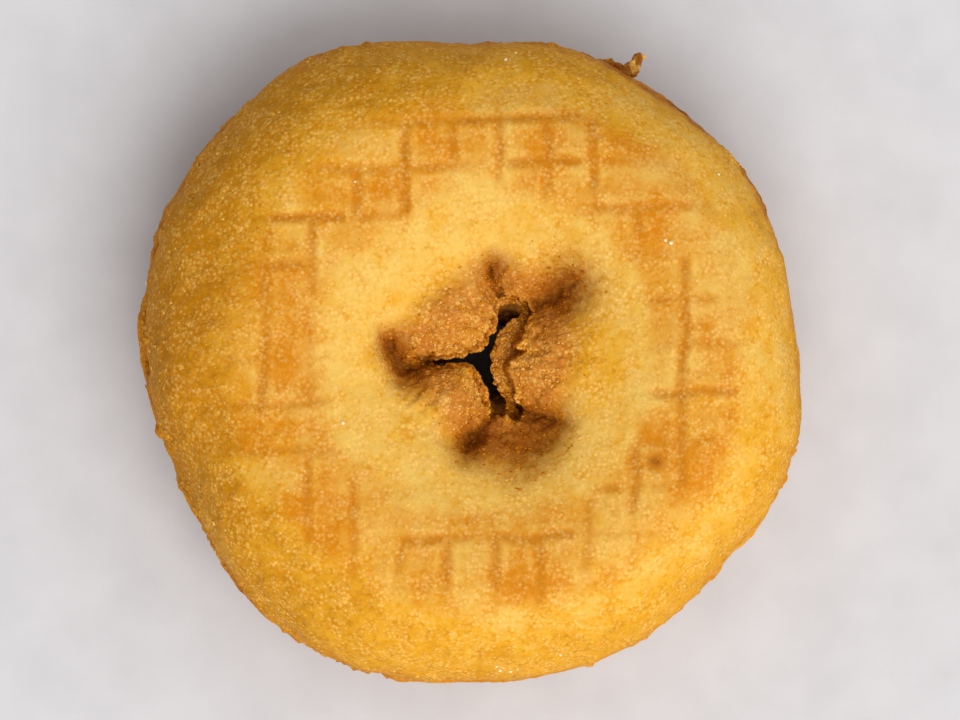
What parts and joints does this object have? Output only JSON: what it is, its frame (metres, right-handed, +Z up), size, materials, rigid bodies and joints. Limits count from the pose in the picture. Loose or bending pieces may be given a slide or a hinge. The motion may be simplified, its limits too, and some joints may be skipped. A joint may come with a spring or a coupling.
{
  "type": "cake doughnut",
  "caption": "Plain round cake doughnut, fried golden, with a dented crater round a small hole that has nearly closed and a crisp scrap at its waist.",
  "frame": {"origin": "middle of the base, under the middle of the doughnut's bounding box", "axes": "+Z up out of the face with the crater; +Y towards the scrap's side of the waist; +X to its right when seen from above"},
  "size_m": [0.0914, 0.0886, 0.032],
  "materials": {
    "fried_crust": "golden fried batter, matte and finely grained"
  },
  "bodies": {
    "root": {"doughnut": "fried_crust"}
  },
  "joints": []
}
